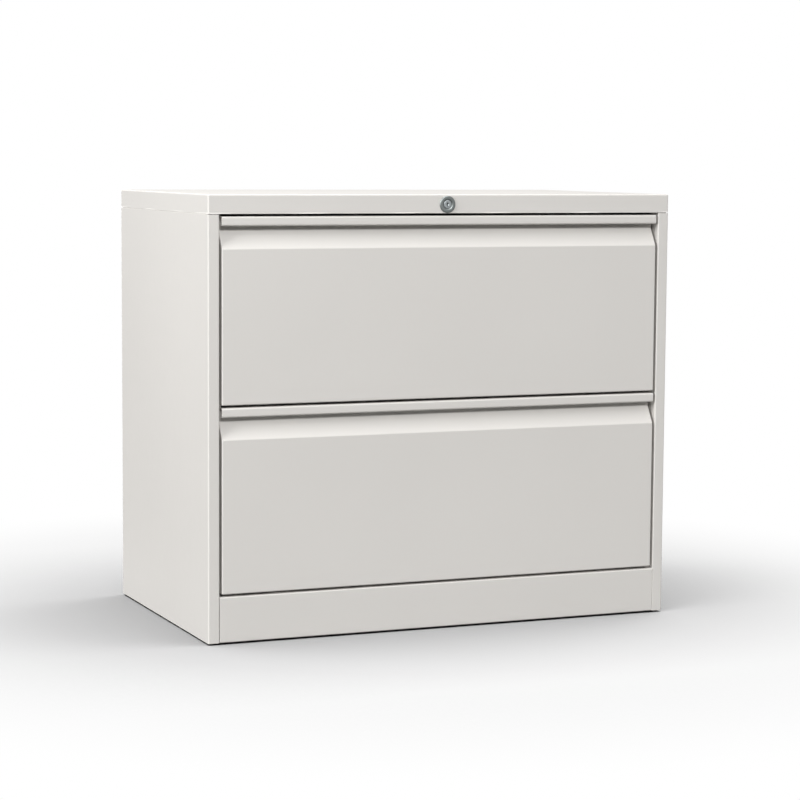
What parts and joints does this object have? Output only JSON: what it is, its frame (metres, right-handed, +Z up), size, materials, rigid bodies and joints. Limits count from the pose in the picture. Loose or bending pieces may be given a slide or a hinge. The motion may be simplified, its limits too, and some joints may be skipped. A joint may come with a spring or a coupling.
{
  "type": "filing cabinet",
  "caption": "Low side filing cabinet in folded sheet steel, with full-width finger-pull drawers on ball slides and a central lock.",
  "frame": {"origin": "on the floor, under the middle of the overall box", "axes": "+X to the right of a person facing the drawers, the drawers open towards -Y, +Z up"},
  "size_m": [0.8, 0.472, 0.7],
  "materials": {
    "powder_coat": "light warm grey powder coat, fine orange peel, satin",
    "rail_coat": "light warm grey powder coat on the rolled pull rails",
    "inner_coat": "light warm grey powder coat on inner sheets",
    "zinc": "bright zinc-plated steel",
    "screw_steel": "zinc-plated screws",
    "ball_steel": "polished bearing steel in plated cages",
    "lock_chrome": "satin nickel plate",
    "lock_core": "satin nickel plate, turned face",
    "nylon": "moulded nylon",
    "rubber": "black rubber",
    "foot_plastic": "black moulded plastic"
  },
  "bodies": {
    "cabinet": {"top_panel": "powder_coat", "side_panel_left": "powder_coat", "side_panel_right": "powder_coat", "back_panel": "inner_coat", "bottom_panel": "inner_coat", "plinth_front": "powder_coat", "plinth_rear": "inner_coat", "upright_front_left": "inner_coat", "upright_front_right": "inner_coat", "upright_rear_left": "inner_coat", "upright_rear_right": "inner_coat", "top_rail_front": "inner_coat", "top_rail_rear": "inner_coat", "foot_brackets": "inner_coat", "back_screws": "screw_steel", "outer_member_upper_left": "zinc", "outer_member_upper_right": "zinc", "outer_member_lower_left": "zinc", "outer_member_lower_right": "zinc", "slide_buffers": "rubber", "lock_housing": "lock_chrome", "lock_clip": "zinc", "lock_bar_guides": "nylon"},
    "drawer_upper": {"drawer_front_upper": "powder_coat", "front_liner_upper": "inner_coat", "pull_rail_upper": "rail_coat", "tray_upper": "inner_coat", "tray_back_upper": "inner_coat", "file_rail_front_upper": "zinc", "file_rail_rear_upper": "zinc", "lock_striker_upper": "zinc", "drawer_screws_upper": "screw_steel", "inner_member_upper_left": "zinc", "inner_member_upper_right": "zinc"},
    "middle_members_upper": {"middle_member_upper_left": "zinc", "middle_member_upper_right": "zinc"},
    "outer_cages_upper": {"outer_ball_cages_upper": "ball_steel"},
    "inner_cages_upper": {"inner_ball_cages_upper": "ball_steel"},
    "drawer_lower": {"drawer_front_lower": "powder_coat", "front_liner_lower": "inner_coat", "pull_rail_lower": "rail_coat", "tray_lower": "inner_coat", "tray_back_lower": "inner_coat", "file_rail_front_lower": "zinc", "file_rail_rear_lower": "zinc", "lock_striker_lower": "zinc", "drawer_screws_lower": "screw_steel", "inner_member_lower_left": "zinc", "inner_member_lower_right": "zinc"},
    "middle_members_lower": {"middle_member_lower_left": "zinc", "middle_member_lower_right": "zinc"},
    "outer_cages_lower": {"outer_ball_cages_lower": "ball_steel"},
    "inner_cages_lower": {"inner_ball_cages_lower": "ball_steel"},
    "lock_core": {"lock_cylinder": "lock_core", "lock_rod": "zinc"},
    "lock_bar": {"lock_bar": "zinc"},
    "foot_front_left": {"foot_front_left": "foot_plastic"},
    "foot_front_right": {"foot_front_right": "foot_plastic"},
    "foot_rear_left": {"foot_rear_left": "foot_plastic"},
    "foot_rear_right": {"foot_rear_right": "foot_plastic"}
  },
  "joints": [
    {"name": "drawer_upper_slide", "type": "slide", "parent": "cabinet", "child": "drawer_upper", "axis": [0, -1, 0], "range_m": [0, 0.4]},
    {"name": "middle_members_upper_slide", "type": "slide", "parent": "cabinet", "child": "middle_members_upper", "axis": [0, -1, 0], "range_m": [0, 0.2]},
    {"name": "outer_cages_upper_slide", "type": "slide", "parent": "cabinet", "child": "outer_cages_upper", "axis": [0, -1, 0], "range_m": [0, 0.1]},
    {"name": "inner_cages_upper_slide", "type": "slide", "parent": "cabinet", "child": "inner_cages_upper", "axis": [0, -1, 0], "range_m": [0, 0.3]},
    {"name": "drawer_lower_slide", "type": "slide", "parent": "cabinet", "child": "drawer_lower", "axis": [0, -1, 0], "range_m": [0, 0.4]},
    {"name": "middle_members_lower_slide", "type": "slide", "parent": "cabinet", "child": "middle_members_lower", "axis": [0, -1, 0], "range_m": [0, 0.2]},
    {"name": "outer_cages_lower_slide", "type": "slide", "parent": "cabinet", "child": "outer_cages_lower", "axis": [0, -1, 0], "range_m": [0, 0.1]},
    {"name": "inner_cages_lower_slide", "type": "slide", "parent": "cabinet", "child": "inner_cages_lower", "axis": [0, -1, 0], "range_m": [0, 0.3]},
    {"name": "lock_turn", "type": "hinge", "parent": "cabinet", "child": "lock_core", "pos_m": [0, -0.234, 0.684], "axis": [0, 1, 0], "range_deg": [0, 90]},
    {"name": "lock_bar_lift", "type": "slide", "parent": "cabinet", "child": "lock_bar", "axis": [0, 0, 1], "range_m": [0, 0.01273]},
    {"name": "foot_front_left_adjust", "type": "slide", "parent": "cabinet", "child": "foot_front_left", "axis": [0, 0, -1], "range_m": [0, 0.012]},
    {"name": "foot_front_right_adjust", "type": "slide", "parent": "cabinet", "child": "foot_front_right", "axis": [0, 0, -1], "range_m": [0, 0.012]},
    {"name": "foot_rear_left_adjust", "type": "slide", "parent": "cabinet", "child": "foot_rear_left", "axis": [0, 0, -1], "range_m": [0, 0.012]},
    {"name": "foot_rear_right_adjust", "type": "slide", "parent": "cabinet", "child": "foot_rear_right", "axis": [0, 0, -1], "range_m": [0, 0.012]}
  ],
  "couplings": [
    {"joint": "middle_members_upper_slide", "follows": "drawer_upper_slide", "ratio": 0.5},
    {"joint": "outer_cages_upper_slide", "follows": "drawer_upper_slide", "ratio": 0.25},
    {"joint": "inner_cages_upper_slide", "follows": "drawer_upper_slide", "ratio": 0.75},
    {"joint": "middle_members_lower_slide", "follows": "drawer_lower_slide", "ratio": 0.5},
    {"joint": "outer_cages_lower_slide", "follows": "drawer_lower_slide", "ratio": 0.25},
    {"joint": "inner_cages_lower_slide", "follows": "drawer_lower_slide", "ratio": 0.75},
    {"joint": "lock_bar_lift", "follows": "lock_turn", "m_per_rad": 0.008103}
  ]
}
